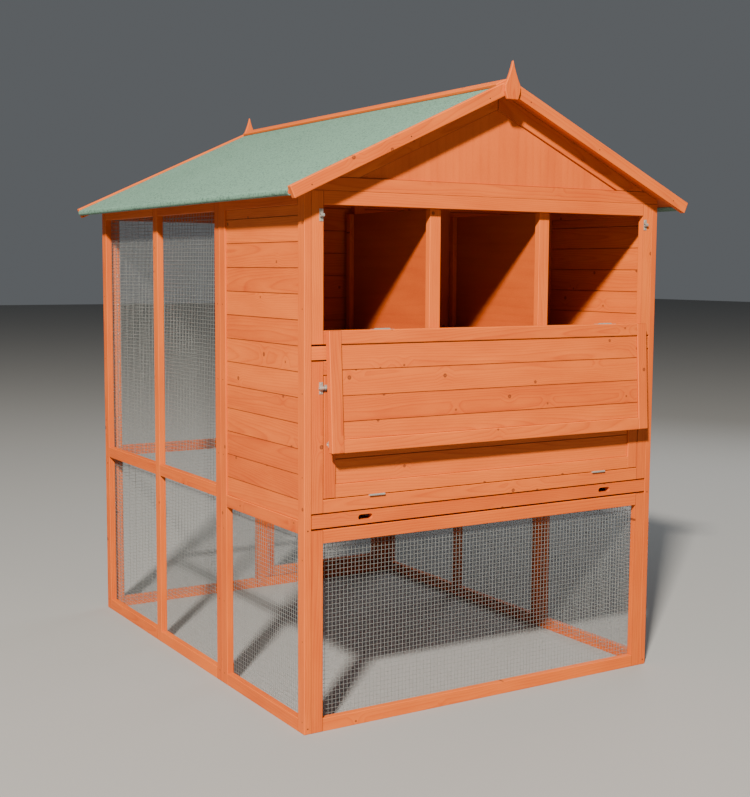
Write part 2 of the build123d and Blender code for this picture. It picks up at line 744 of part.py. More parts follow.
# Finials: pointed, widest at the shoulder, and cut back to a narrow foot
shoulder = FINIAL_FOOT + FINIAL_SHOULDER
waist = FINIAL_FOOT + FINIAL_WAIST
with BuildPart() as finials:
    for y in (VERGE + BARGE_THICK + FINIAL_THICK, -VERGE - BARGE_THICK):
        with BuildSketch(facing_front(y)):
            with BuildLine():
                Line((0, FINIAL_FOOT), (FINIAL_FOOT_HALF, FINIAL_FOOT))
                Line((FINIAL_FOOT_HALF, FINIAL_FOOT), (FINIAL_HALF, waist))
                Line((FINIAL_HALF, waist), (FINIAL_HALF, shoulder))
                SagittaArc((FINIAL_HALF, shoulder), (0, FINIAL_TIP), FINIAL_BULGE)
                mirror(about=Plane.YZ)
            make_face()
        extrude(amount=FINIAL_THICK)
write(finials, "finials")

# Gables: plywood in a frame of a bottom trim and two sloping trims
trim_top = WALL_TOP + BATTEN
trim_out = roof_x(trim_top, UNDERSIDE)
slope_in = roof_x(trim_top, UNDERSIDE + GABLE_TRIM)
trim_foot = trim_top + MITRE
with BuildPart() as gable_trims:
    for y in (BACK, FRONT_IN):
        with BuildSketch(facing_front(y)):
            Polygon(
                (-HALF, WALL_TOP),
                (HALF, WALL_TOP),
                (HALF, roof_z(HALF, UNDERSIDE)),
                (trim_out, trim_top),
                (-trim_out, trim_top),
                (-HALF, roof_z(HALF, UNDERSIDE)),
                align=None,
            )
            mirrored(
                [
                    (MITRE, roof_z(MITRE, UNDERSIDE + GABLE_TRIM)),
                    (roof_x(trim_foot, UNDERSIDE + GABLE_TRIM), trim_foot),
                    (roof_x(trim_foot, UNDERSIDE), trim_foot),
                    (MITRE, roof_z(MITRE, UNDERSIDE)),
                ]
            )
        extrude(amount=THICK)
write(gable_trims, "gable_trims")

with BuildPart() as gable_panels:
    for y in (BACK - GABLE_RECESS, FRONT + GABLE_RECESS + PLY):
        with BuildSketch(facing_front(y)):
            Polygon(
                (-slope_in, trim_top),
                (slope_in, trim_top),
                (0, roof_z(0, UNDERSIDE + GABLE_TRIM)),
                align=None,
            )
        extrude(amount=PLY)
write(gable_panels, "gable_panels")
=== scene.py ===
"""Timber hutch with a boarded house, three nest boxes, a wire run and a felted gable roof."""

import itertools
import json
import math
import random

import bmesh
import bpy
from mathutils import Matrix, Vector


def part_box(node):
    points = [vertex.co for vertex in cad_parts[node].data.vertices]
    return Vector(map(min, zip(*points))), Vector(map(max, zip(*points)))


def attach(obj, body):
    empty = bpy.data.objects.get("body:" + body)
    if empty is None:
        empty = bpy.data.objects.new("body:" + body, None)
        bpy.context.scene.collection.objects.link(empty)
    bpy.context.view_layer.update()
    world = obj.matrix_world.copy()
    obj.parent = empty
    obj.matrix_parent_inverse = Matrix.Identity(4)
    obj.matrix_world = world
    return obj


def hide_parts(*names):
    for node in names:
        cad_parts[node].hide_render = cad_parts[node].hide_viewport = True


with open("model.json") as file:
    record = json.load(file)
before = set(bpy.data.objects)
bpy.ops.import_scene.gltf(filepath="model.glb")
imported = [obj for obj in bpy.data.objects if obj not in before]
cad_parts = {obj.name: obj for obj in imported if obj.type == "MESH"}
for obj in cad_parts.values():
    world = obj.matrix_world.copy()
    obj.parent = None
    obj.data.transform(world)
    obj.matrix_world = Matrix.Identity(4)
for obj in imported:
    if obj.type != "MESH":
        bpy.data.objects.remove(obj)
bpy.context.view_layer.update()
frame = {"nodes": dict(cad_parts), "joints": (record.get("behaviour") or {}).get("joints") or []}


# Side walls
# Each wall is two framed panels of planed fir battens, screwed together edge to edge. The house panel is
# filled with tongued boards over an open run, and the aviary panel behind it is left open for the wire.
# All of the timber is dipped in an orange stain before it is put together.
def fill(tree, node, sockets):
    """Fill a node's sockets with values or with links."""
    for name, value in sockets.items():
        socket = node.inputs[name]
        if isinstance(value, bpy.types.NodeSocket):
            tree.links.new(value, socket)
        else:
            socket.default_value = value


def add(tree, kind, sockets, **settings):
    """Add a node, set its own settings and fill its sockets."""
    made = tree.nodes.new(kind)
    for name, value in settings.items():
        setattr(made, name, value)
    fill(tree, made, sockets)
    return made


def math_of(tree, operation, first, second=0.0, third=0.0):
    """The result of one sum on two or three numbers or sockets."""
    return add(tree, "ShaderNodeMath", {0: first, 1: second, 2: third}, operation=operation).outputs[0]


def vector_of(tree, operation, first, second):
    """The result of one sum on two vectors, part by part."""
    return add(tree, "ShaderNodeVectorMath", {0: first, 1: second}, operation=operation).outputs[0]


def graded(tree, factor, low, high, start=0.0, end=1.0):
    """A number that goes from low to high while a factor goes from start to end."""
    return add(tree, "ShaderNodeMapRange", {0: factor, 1: start, 2: end, 3: low, 4: high}).outputs[0]


def noise(tree, place, scale=1.0, detail=2.0):
    """Soft noise between 0 and 1."""
    return add(tree, "ShaderNodeTexNoise", {"Vector": place, "Scale": scale, "Detail": detail}).outputs["Fac"]


def ramp(tree, factor, *stops):
    """A colour ramp through stops of a position and a grey level."""
    made = add(tree, "ShaderNodeValToRGB", {0: factor})
    for place, grey in stops[2:]:
        made.color_ramp.elements.new(place)
    for element, (place, grey) in zip(made.color_ramp.elements, stops):
        element.position = place
        element.color = (grey, grey, grey, 1.0)
    return made.outputs[0]


def blended(tree, factor, first, second):
    """A colour between two others."""
    return add(tree, "ShaderNodeMix", {0: factor, 6: first, 7: second}, data_type="RGBA").outputs[2]


def embossed(tree, height, strength, depth):
    """A surface direction that rises and falls with a height."""
    return add(tree, "ShaderNodeBump", {"Strength": strength, "Distance": depth, "Height": height}).outputs[0]


def finish_material(name):
    """A new node material: the material, its tree and its surface shader."""
    made = bpy.data.materials.new(name)
    made.use_nodes = True
    return made, made.node_tree, made.node_tree.nodes["Principled BSDF"]


def stained_wood(name, pale, deep, ring_gap, ring_depth, fibre_long, knots):
    """Stained softwood whose rings, fibres and knots follow each piece's own grain direction."""
    made, tree, shader = finish_material(name)
    grain = add(tree, "ShaderNodeAttribute", {}, attribute_name="grain").outputs["Vector"]
    tone = add(tree, "ShaderNodeAttribute", {}, attribute_name="tone").outputs["Fac"]
    arris = add(tree, "ShaderNodeAttribute", {}, attribute_name="arris").outputs["Fac"]

    # Knots go right through a piece, so they are placed by length and width only
    cells_per_metre = 9.0
    smallest_knot = 0.0028
    knot_growth = 0.003
    ring_bend = 0.007
    bend_reach = 0.035
    cells = add(
        tree, "ShaderNodeTexVoronoi", {"Vector": grain, "Scale": cells_per_metre}, voronoi_dimensions="2D"
    )
    knot_away = math_of(tree, "DIVIDE", cells.outputs["Distance"], cells_per_metre)
    chosen = add(tree, "ShaderNodeSeparateColor", {0: cells.outputs["Color"]})
    knot_here = math_of(tree, "LESS_THAN", chosen.outputs[0], knots)
    knot_radius = math_of(tree, "MULTIPLY_ADD", chosen.outputs[1], knot_growth, smallest_knot)
    knot_out = math_of(tree, "DIVIDE", knot_away, knot_radius)
    knot_heart = graded(tree, knot_out, 1.0, 0.0, start=0.35, end=0.85)
    knot_core = graded(tree, knot_out, 1.0, 0.0, start=0.85, end=1.35)
    knot_core = math_of(tree, "MULTIPLY", knot_core, knot_here)
    knot_pull = graded(tree, knot_away, ring_bend, 0.0, end=bend_reach)
    knot_pull = math_of(tree, "MULTIPLY", knot_pull, knot_here)

    # Growth rings about a pith that wanders along the piece
    wander_rate = (1.5, 8.0, 8.0)
    wander_width = (0.0, 0.040, 0.026)
    noise_middle = (0.5, 0.5, 0.5)
    cross_section = (0.0, 1.0, 1.0)
    wander = noise(tree, vector_of(tree, "MULTIPLY", grain, wander_rate)).node.outputs["Color"]
    shift = vector_of(tree, "SUBTRACT", wander, noise_middle)
    moved = vector_of(tree, "ADD", grain, vector_of(tree, "MULTIPLY", shift, wander_width))
    section = vector_of(tree, "MULTIPLY", moved, cross_section)
    radius = add(tree, "ShaderNodeVectorMath", {0: section}, operation="LENGTH").outputs["Value"]
    radius = math_of(tree, "ADD", radius, knot_pull)
    ring = math_of(tree, "FRACT", math_of(tree, "DIVIDE", radius, ring_gap))
    late_wood = ramp(tree, ring, (0.0, 0.25), (0.15, 0.0), (0.7, 0.35), (0.92, 1.0), (1.0, 0.3))

    # Fine fibres along the grain, and patches that took up more stain
    fibres_across = 620.0
    fibre_rate = (1 / fibre_long, fibres_across, fibres_across)
    patch_rate = (5.0, 22.0, 22.0)
    fibre = noise(tree, vector_of(tree, "MULTIPLY", grain, fibre_rate), detail=3.0)
    patch = noise(tree, vector_of(tree, "MULTIPLY", grain, patch_rate), detail=3.0)

    # The stain's depth adds up from the tone of the whole piece, its late wood, the patches and the fibres
    tone_weight = 0.36
    patch_weight = 0.70
    fibre_weight = 0.42
    palest_depth = 0.48
    depth = math_of(tree, "MULTIPLY", tone, tone_weight)
    depth = math_of(tree, "MULTIPLY_ADD", late_wood, ring_depth, depth)
    depth = math_of(tree, "MULTIPLY_ADD", patch, patch_weight, depth)
    depth = math_of(tree, "MULTIPLY_ADD", fibre, fibre_weight, depth)
    depth = math_of(tree, "SUBTRACT", depth, palest_depth)
    colour = blended(tree, depth, pale, deep)
    knot_rim = (0.070, 0.015, 0.005, 1.0)
    knot_middle = (0.23, 0.045, 0.010, 1.0)
    knot_cover = 0.85
    knot_colour = blended(tree, knot_heart, knot_rim, knot_middle)
    colour = blended(tree, math_of(tree, "MULTIPLY", knot_core, knot_cover), colour, knot_colour)

    # Eased edges get a painted highlight as well as wear; grooves between boards get stain and painted shade
    highlight_and_wear_gain = 1.10
    highlight_and_wear_cover = 0.45
    stain_and_shade_cover = -0.5
    # The paler edge colour is a painted highlight along with wear
    highlight_and_wear = tuple(min(1.0, highlight_and_wear_gain * level) for level in pale[:3]) + (1.0,)
    # The dark groove colour is stain together with painted shade in the joint
    groove_stain_and_shade = (0.080, 0.010, 0.002, 1.0)
    highlight_and_wear_mask = math_of(tree, "MULTIPLY", math_of(tree, "MAXIMUM", arris, 0.0), highlight_and_wear_cover)
    colour = blended(tree, highlight_and_wear_mask, colour, highlight_and_wear)
    stain_and_shade_mask = math_of(tree, "MULTIPLY", math_of(tree, "MINIMUM", arris, 0.0), stain_and_shade_cover)
    colour = blended(tree, stain_and_shade_mask, colour, groove_stain_and_shade)

    fibre_relief = 0.6
    relief = math_of(tree, "MULTIPLY_ADD", fibre, fibre_relief, late_wood)
    surface = {
        "Base Color": colour,
        "Roughness": graded(tree, fibre, 0.50, 0.70),
        "Specular IOR Level": 0.25,
        "Normal": embossed(tree, relief, strength=0.22, depth=0.0004),
    }
    fill(tree, shader, surface)
    return made


FIR_PALE = (0.60, 0.124, 0.014, 1.0)
FIR_DEEP = (0.37, 0.043, 0.003, 1.0)
stained_fir = stained_wood(
    "stained_fir", FIR_PALE, FIR_DEEP, ring_gap=0.0048, ring_depth=0.34, fibre_long=0.062, knots=0.36
)

MERGE = 0.00001
FLAT = math.radians(1)


def solids_of(node):
    """A copy of a node's mesh, with its loose triangles joined up into solids."""
    cut = bmesh.new()
    cut.from_mesh(frame["nodes"][node].data)
    bmesh.ops.remove_doubles(cut, verts=cut.verts, dist=MERGE)
    return cut


def join_flat(cut):
    """Make each flat side of the solids one whole face."""
    bmesh.ops.dissolve_limit(cut, angle_limit=FLAT, verts=cut.verts, edges=cut.edges)


def islands(cut):
    """The separate solids of a mesh, each as its list of corner points."""
    waiting = set(cut.verts)
    found = []
    while waiting:
        edge_of = [waiting.pop()]
        solid = []
        while edge_of:
            point = edge_of.pop()
            solid.append(point)
            for edge in point.link_edges:
                other = edge.other_vert(point)
                if other in waiting:
                    waiting.remove(other)
                    edge_of.append(other)
        found.append(solid)
    return found


def corners(points):
    """The lowest and highest corners of some mesh points."""
    columns = list(zip(*(point.co for point in points)))
    return Vector([min(column) for column in columns]), Vector([max(column) for column in columns])


def run_of(edge):
    """The direction of an edge."""
    return (edge.verts[1].co - edge.verts[0].co).normalized()


def longest_of(edges):
    """The longest of some edges, and the last of them where several are as long."""
    return max(edges, key=lambda edge: (round(edge.calc_length(), 6), edge.index))


TRUNK_LONG = 40.0
PITH_ASIDE = 0.05
PITH_NEAR = 0.02
PITH_FAR = 0.075
GRAIN_SLOPE = 0.03
LENGTHWAYS = 0.7


def run_grain(cut, seed, lengthwise, eased, edge_wear_and_light, end_wear_and_light):
    """Give every solid its own length-wise grain, as if each were cut from another part of the tree.

    Its eased faces are told apart too, into those along its edges and those at its ends.
    """
    luck = random.Random(seed)
    grain = cut.verts.layers.float_vector["grain"]
    tone = cut.verts.layers.float["tone"]
    arris = cut.faces.layers.float["arris"]
    solids = sorted(islands(cut), key=lambda solid: min(tuple(point.co) for point in solid))
    for solid in solids:
        along = lengthwise or run_of(longest_of({edge for point in solid for edge in point.link_edges}))
        faces = {face for point in solid for face in point.link_faces}
        broadest = max(faces, key=lambda face: (round(face.calc_area(), 8), face.index))
        through = broadest.normal.copy()
        across = through.cross(along).normalized()
        place_in_trunk = luck.uniform(0, TRUNK_LONG)
        pith_aside = luck.uniform(-PITH_ASIDE, PITH_ASIDE)
        pith_away = luck.uniform(PITH_NEAR, PITH_FAR)
        start = Vector((place_in_trunk, pith_aside, pith_away))
        shade = luck.random()
        slope_aside = luck.uniform(-GRAIN_SLOPE, GRAIN_SLOPE)
        slope_away = luck.uniform(-GRAIN_SLOPE, GRAIN_SLOPE)
        taper = Vector((1.0, slope_aside, slope_away))
        middle = sum((point.co for point in solid), Vector()) / len(solid)
        for point in solid:
            away = point.co - middle
            cross_place = Vector((0.0, away.dot(across), away.dot(through)))
            point[grain] = start + taper * away.dot(along) + cross_place
            point[tone] = shade
        # Eased faces get a level for the material: above nought a painted highlight with wear, below nought
        # stain with painted shade
        for face in faces & eased:
            run = run_of(max(face.edges, key=lambda edge: edge.calc_length()))
            face[arris] = edge_wear_and_light if abs(run.dot(along)) > LENGTHWAYS else end_wear_and_light


JOINT_MOST = 0.003
TONGUE_DEEP = 0.003


def tongues(cut):
    """The middle and size of the tongue in each joint of a stack of boards, a third of the board thick."""
    boxes = [corners(solid) for solid in islands(cut)]
    found = []
    for (low, high), (low_above, high_above) in itertools.permutations(boxes, 2):
        near = Vector([max(pair) for pair in zip(low, low_above)])
        far = Vector([min(pair) for pair in zip(high, high_above)])
        touching = near.x < far.x and near.y < far.y
        if touching and 0 < low_above.z - high.z < JOINT_MOST:
            size = far - near
            thin = min((0, 1), key=lambda axis: size[axis])
            size[thin] /= 3
            size.z = low_above.z - high.z + 2 * TONGUE_DEEP
            found.append(((near + far) / 2, size))
    return found


def stand(name, data):
    """A new object in the scene."""
    made = bpy.data.objects.new(name, data)
    bpy.context.scene.collection.objects.link(made)
    return made


SHARP = math.radians(25)
EASE = 0.0013
# Above nought an eased face is painted pale, a painted highlight with wear; below nought dark, stain with
# painted shade
EDGE_WEAR_AND_HIGHLIGHT = 1.0
END_JOINT_STAIN_AND_SHADE = -0.8


def timber(
    node,
    body,
    finish,
    ease=EASE,
    edges=EDGE_WEAR_AND_HIGHLIGHT,
    ends=END_JOINT_STAIN_AND_SHADE,
    lengthwise=None,
    tongued=False,
):
    """A node's solids as planed timber: the same sizes, with eased edges and each piece's own grain.

    Edges and ends above nought get a painted highlight as well as wear, and those below nought are joints
    that hold stain and painted shade.
    """
    cut = solids_of(node)
    join_flat(cut)
    cut.verts.layers.float_vector.new("grain")
    cut.verts.layers.float.new("tone")
    cut.faces.layers.float.new("arris")
    joints = tongues(cut) if tongued else []
    sharp = [edge for edge in cut.edges if edge.calc_face_angle(0) > SHARP]
    eased = bmesh.ops.bevel(
        cut, geom=sharp, offset=ease, segments=2, profile=0.5, affect="EDGES", clamp_overlap=True
    )
    cut.normal_update()
    run_grain(cut, node, lengthwise, set(eased["faces"]), edges, ends)
    for middle, size in joints:
        place = Matrix.Translation(middle) @ Matrix.Diagonal((*size, 1.0))
        bmesh.ops.create_cube(cut, size=1.0, matrix=place)
    mesh = bpy.data.meshes.new(f"{node}_timber")
    cut.to_mesh(mesh)
    cut.free()
    mesh.materials.append(finish)
    piece = stand(f"{node}_timber", mesh)
    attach(piece, body)
    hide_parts(node)


GROOVE_EASE = 0.0012
# Grooves are painted dark: stain together with painted shade
GROOVE_STAIN_AND_SHADE = -1.0


def boarding(node, body):
    """Tongued boards, whose eased edges make grooves darkened with stain and painted shade."""
    timber(node, body, stained_fir, ease=GROOVE_EASE, edges=GROOVE_STAIN_AND_SHADE, tongued=True)


for side in ("left", "right"):
    for part in ("house_stiles", "house_rails", "aviary_stiles", "aviary_rails"):
        timber(f"{side}_{part}", "hutch", stained_fir)
    boarding(f"{side}_house_boards", "hutch")


# Front of the run and back panel
# Two more open frames of the same battens close the ends of the run and the aviary. The wire is stapled to
# their inner faces, and where the stiles stand against the side walls their edges hold stain and painted
# shade.
WALL_JOINT_STAIN_AND_SHADE = -0.9
for part in ("front_run_rails", "back_rails"):
    timber(part, "hutch", stained_fir)
for part in ("front_run_stiles", "back_stiles"):
    timber(part, "hutch", stained_fir, edges=WALL_JOINT_STAIN_AND_SHADE)


# Access door
# A tall framed door in the back panel, of the same fir battens, with its own sheet of wire on the inner
# face. It hangs on two butt hinges and is held shut by a barrel bolt.
for part in ("access_door_stiles", "access_door_rails"):
    timber(part, "access_door", stained_fir)


# Wall between the house and the aviary
# Studs and tongued boards of stained fir that close the back of the nests, with a pop hole below and an
# entry to each nest. The runners that carry the tray go from the front to this wall.
for part in ("rear_wall_studs", "floor_runners"):
    timber(part, "hutch", stained_fir)
boarding("rear_wall_boards", "hutch")


# Tray
# A shallow pan of stained plywood that slides on the runners, fixed behind a fir front board. Two finger
# slots are cut through the board to pull it out by.
PLY_PALE = (0.57, 0.109, 0.013, 1.0)
PLY_DEEP = (0.34, 0.040, 0.004, 1.0)


def plywood(name, pale, deep):
    """Stained plywood: broad faint figure from a peeled sheet, short fibres and hardly a knot."""
    return stained_wood(name, pale, deep, ring_gap=0.0240, ring_depth=0.12, fibre_long=0.008, knots=0.02)


stained_plywood = plywood("stained_plywood", PLY_PALE, PLY_DEEP)
timber("tray_front", "tray", stained_fir)
timber("tray_pan", "tray", stained_plywood)


# Lower door
# A surround of fir battens, and in it a boarded door that is hinged at its bottom edge and held by two
# bolts. The middle rail lies above it, between the two front panels.
# The surround stiles' long edges are painted dark, stain with painted shade where they meet the walls
timber("door_surround_stiles", "hutch", stained_fir, edges=WALL_JOINT_STAIN_AND_SHADE)
for part in ("door_surround_rails", "lower_door_stiles", "lower_door_rails", "middle_rail"):
    timber(part, "hutch", stained_fir)
boarding("lower_door_boards", "hutch")


# Nest boxes
# A frame of fir battens with two posts goes round the opening. Two plywood dividers behind the posts part
# the three nests, on a plywood floor that rests on cleats. Its darker colours are painted shade for the
# inside of the nests.
# The nest frame stiles' long edges are painted dark, stain with painted shade where they meet the walls
timber("nest_frame_stiles", "hutch", stained_fir, edges=WALL_JOINT_STAIN_AND_SHADE)
for part in ("nest_frame_rails", "nest_posts"):
    timber(part, "hutch", stained_fir)
# A darker copy of the plywood: painted shade inside the nests
NEST_SHADED_PALE = (0.41, 0.072, 0.008, 1.0)
NEST_SHADED_DEEP = (0.245, 0.026, 0.0024, 1.0)
shaded_nest_plywood = plywood("shaded_nest_plywood", NEST_SHADED_PALE, NEST_SHADED_DEEP)
for part in ("nest_dividers", "nest_floor"):
    timber(part, "hutch", shaded_nest_plywood)


# Flap
# A framed and boarded flap of stained fir that shuts the nests. It hangs open on two butt hinges, with its
# inner face outwards, and its frame's edges are rounded more than those of the walls.
FLAP_EASE = 0.002
for part in ("flap_stiles", "flap_rails"):
    timber(part, "flap", stained_fir, ease=FLAP_EASE)
boarding("flap_boards", "flap")


# Gables and roof timber
# Plywood triangles in mitred fir trims close the gables. Plywood slopes lie on the wall plates behind
# bargeboards with sawn finials, and two battens cover the ridge.
UPRIGHT = Vector((0.0, 0.0, 1.0))
BARGE_EASE = 0.0022
FINIAL_EASE = 0.0016
timber("wall_plates", "hutch", stained_fir)
# The trims' eased edges and ends are painted dark, stain together with painted shade in their joints
timber("gable_trims", "hutch", stained_fir, edges=GROOVE_STAIN_AND_SHADE, ends=GROOVE_STAIN_AND_SHADE)
# Their edges and ends are painted paler, a painted highlight along with wear
for part in ("bargeboards", "ridge_battens"):
    timber(part, "hutch", stained_fir, ease=BARGE_EASE, ends=EDGE_WEAR_AND_HIGHLIGHT)
timber("finials", "hutch", stained_fir, ease=FINIAL_EASE, ends=EDGE_WEAR_AND_HIGHLIGHT, lengthwise=UPRIGHT)
timber("roof_boards", "hutch", stained_plywood)
timber("gable_panels", "hutch", stained_plywood, lengthwise=UPRIGHT)


# Roof felt
# Bitumen felt with pressed-in green mineral grains. It lies over the roof boards, goes round both eaves and
# is tucked under them.
def granulated_felt():
    """Green mineral grains of mixed shades on a dark ground, closer together in some places."""
    made, tree, shader = finish_material("granulated_felt")
    place = add(tree, "ShaderNodeTexCoord", {}).outputs["Object"]
    grains_per_metre = 330.0
    clots_per_metre = 140.0
    drifts_per_metre = 5.0
    grain_weight = 0.6
    clot_weight = 3.6
    drift_weight = 0.4
    darkest = 1.32
    grains = add(tree, "ShaderNodeTexVoronoi", {"Vector": place, "Scale": grains_per_metre})
    grain_shade = add(tree, "ShaderNodeSeparateColor", {0: grains.outputs["Color"]}).outputs[0]
    clots = noise(tree, place, scale=clots_per_metre, detail=3.0)
    drifts = noise(tree, place, scale=drifts_per_metre, detail=3.0)
    shade = math_of(tree, "MULTIPLY", clots, clot_weight)
    shade = math_of(tree, "MULTIPLY_ADD", grain_shade, grain_weight, shade)
    shade = math_of(tree, "MULTIPLY_ADD", drifts, drift_weight, shade)
    colours = add(tree, "ShaderNodeValToRGB", {0: math_of(tree, "SUBTRACT", shade, darkest)})
    dark, pale = colours.color_ramp.elements
    dark.position = 0.05
    dark.color = (0.010, 0.036, 0.024, 1.0)
    pale.position = 0.95
    pale.color = (0.112, 0.214, 0.155, 1.0)
    surface = {
        "Base Color": colours.outputs[0],
        "Roughness": 0.9,
        "Normal": embossed(tree, grains.outputs["Distance"], strength=0.6, depth=0.0012),
    }
    fill(tree, shader, surface)
    return made


def refinish(node, finish):
    """Give a node that keeps its own shape a better finish."""
    slots = frame["nodes"][node].data.materials
    slots.clear()
    slots.append(finish)


refinish("roof_felt", granulated_felt())


# Welded wire
# Galvanised mesh with half-inch squares: upright wires lie over level ones and are welded at each crossing.
# Each sheet is stapled to the inner faces of its frame and bellies inwards a little between the battens.
WIRE_SIZES = {"Pitch": 0.0127, "Thickness": 0.0011, "Belly": 0.0035}
WIRE_STEP = 0.06
WIRE_SIDES = 5
LEVEL_LAYER = 0.5
UPRIGHT_LAYER = 1.5
RIPPLES_PER_METRE = 3.0


def geometry_tree(name, sockets):
    """A geometry tree with named inputs and one output: the tree, its input node and its input sockets."""
    tree = bpy.data.node_groups.new(name, "GeometryNodeTree")
    tree.interface.new_socket(name="Geometry", in_out="OUTPUT", socket_type="NodeSocketGeometry")
    made = {}
    for label, kind in sockets.items():
        made[label] = tree.interface.new_socket(name=label, in_out="INPUT", socket_type=kind)
    return tree, tree.nodes.new("NodeGroupInput"), made


def close_tree(tree, geometry, finish):
    """End a tree in plain geometry that carries its material."""
    real = add(tree, "GeometryNodeRealizeInstances", {0: geometry})
    painted = add(tree, "GeometryNodeSetMaterial", {0: real.outputs[0], "Material": finish})
    add(tree, "NodeGroupOutput", {0: painted.outputs[0]})


def grown_mesh(tree, sockets, values, points=None):
    """Run a tree on its own and keep the result as a plain mesh."""
    seed = points or bpy.data.meshes.new("seed")
    holder = stand("holder", seed)
    run = holder.modifiers.new("grow", "NODES")
    run.node_group = tree
    for label, value in values.items():
        run[sockets[label].identifier] = value
    seen = holder.evaluated_get(bpy.context.evaluated_depsgraph_get())
    mesh = bpy.data.meshes.new_from_object(seen)
    bpy.data.objects.remove(holder)
    return mesh


def galvanised_wire():
    """Dull zinc with a slight change of shade along the wires."""
    made, tree, shader = finish_material("galvanised_wire")
    place = add(tree, "ShaderNodeTexCoord", {}).outputs["Object"]
    spangle = noise(tree, place, scale=90.0)
    dull = (0.150, 0.160, 0.150, 1.0)
    bright = (0.320, 0.330, 0.313, 1.0)
    surface = {
        "Base Color": blended(tree, spangle, dull, bright),
        "Metallic": 0.35,
        "Roughness": graded(tree, spangle, 0.55, 0.35),
    }
    fill(tree, shader, surface)
    return made


zinc_wire = galvanised_wire()
weave_labels = ("Width", "Height", *WIRE_SIZES)
weave_tree, weave_in, weave_sockets = geometry_tree(
    "welded_wire", {label: "NodeSocketFloat" for label in weave_labels}
)
sheet_wide = weave_in.outputs["Width"]
sheet_high = weave_in.outputs["Height"]
wire_pitch = weave_in.outputs["Pitch"]
wire_thick = weave_in.outputs["Thickness"]


def sheet_math(operation, first, second=0.0):
    """One sum in the wire's tree."""
    return math_of(weave_tree, operation, first, second)


def sheet_point(x=0.0, y=0.0, z=0.0):
    """A point in the wire's tree."""
    return add(weave_tree, "ShaderNodeCombineXYZ", {0: x, 1: y, 2: z}).outputs[0]


wire_ring = add(
    weave_tree,
    "GeometryNodeCurvePrimitiveCircle",
    {"Resolution": WIRE_SIDES, "Radius": sheet_math("DIVIDE", wire_thick, 2.0)},
)
wire_sets = []
for spread, start, run, step in (
    (
        sheet_wide,
        sheet_point(y=sheet_math("MULTIPLY", wire_thick, UPRIGHT_LAYER)),
        sheet_point(z=sheet_high),
        sheet_point(x=wire_pitch),
    ),
    (
        sheet_high,
        sheet_point(y=sheet_math("MULTIPLY", wire_thick, LEVEL_LAYER)),
        sheet_point(x=sheet_wide),
        sheet_point(z=wire_pitch),
    ),
):
    gaps = sheet_math("FLOOR", sheet_math("DIVIDE", spread, wire_pitch))
    count = sheet_math("ADD", gaps, 1.0)
    line = add(weave_tree, "GeometryNodeCurvePrimitiveLine", {"End": run})
    stepped = add(
        weave_tree,
        "GeometryNodeResampleCurve",
        {"Curve": line.outputs[0], "Length": WIRE_STEP},
        mode="LENGTH",
    )
    wire = add(
        weave_tree,
        "GeometryNodeCurveToMesh",
        {"Curve": stepped.outputs[0], "Profile Curve": wire_ring.outputs[0], "Fill Caps": True},
    )
    row = add(weave_tree, "GeometryNodeMeshLine", {"Count": count, "Start Location": start, "Offset": step})
    laid = add(
        weave_tree,
        "GeometryNodeInstanceOnPoints",
        {"Points": row.outputs[0], "Instance": wire.outputs[0]},
    )
    wire_sets.append(add(weave_tree, "GeometryNodeRealizeInstances", {0: laid.outputs[0]}).outputs[0])
crossed = add(weave_tree, "GeometryNodeJoinGeometry", {})
for wires in wire_sets:
    weave_tree.links.new(wires, crossed.inputs[0])
here = add(weave_tree, "GeometryNodeInputPosition", {}).outputs[0]
on_sheet = add(weave_tree, "ShaderNodeSeparateXYZ", {0: here})
part_along = sheet_math("DIVIDE", on_sheet.outputs[0], sheet_wide)
part_up = sheet_math("DIVIDE", on_sheet.outputs[2], sheet_high)
belly_x = sheet_math("SINE", sheet_math("MULTIPLY", part_along, math.pi))
belly_z = sheet_math("SINE", sheet_math("MULTIPLY", part_up, math.pi))
ripple = noise(weave_tree, here, scale=RIPPLES_PER_METRE, detail=1.0)
bowed = sheet_math("MULTIPLY", sheet_math("MULTIPLY", belly_x, belly_z), ripple)
bowed = sheet_math("MULTIPLY", bowed, weave_in.outputs["Belly"])
moved_wire = add(
    weave_tree,
    "GeometryNodeSetPosition",
    {"Geometry": crossed.outputs[0], "Offset": sheet_point(y=bowed)},
)
close_tree(weave_tree, moved_wire.outputs[0], zinc_wire)


def wire_sheets(node):
    """The box of each flat sheet in a wire node."""
    cut = solids_of(node)
    boxes = [corners(sheet) for sheet in islands(cut)]
    cut.free()
    return sorted(boxes, key=lambda box: tuple(box[0]))


def sheet_place(low, high):
    """Where a sheet stands: its length runs along x and its inner face looks along y, before it is placed."""
    size = high - low
    if size.x < size.y:
        inwards = Vector((-1.0 if low.x > 0 else 1.0, 0.0, 0.0))
    else:
        inwards = Vector((0.0, -1.0 if low.y > 0 else 1.0, 0.0))
    along = inwards.cross(UPRIGHT)
    start = Vector([high[axis] if along[axis] + inwards[axis] < 0 else low[axis] for axis in range(3)])
    return Matrix.Translation(start) @ Matrix((along, inwards, UPRIGHT)).transposed().to_4x4()


def grown_on_sheets(node, tree, sockets, sizes):
    """A tree's result on each sheet of a wire node, in its place."""
    grown = []
    for low, high in wire_sheets(node):
        size = high - low
        mesh = grown_mesh(tree, sockets, {"Width": max(size.x, size.y), "Height": size.z, **sizes})
        mesh.transform(sheet_place(low, high))
        grown.append(mesh)
    return grown


def joined(name, meshes, finish):
    """One object of several meshes that are already in place."""
    whole = bmesh.new()
    for mesh in meshes:
        whole.from_mesh(mesh)
    mesh = bpy.data.meshes.new(name)
    whole.to_mesh(mesh)
    whole.free()
    mesh.materials.append(finish)
    return stand(name, mesh)


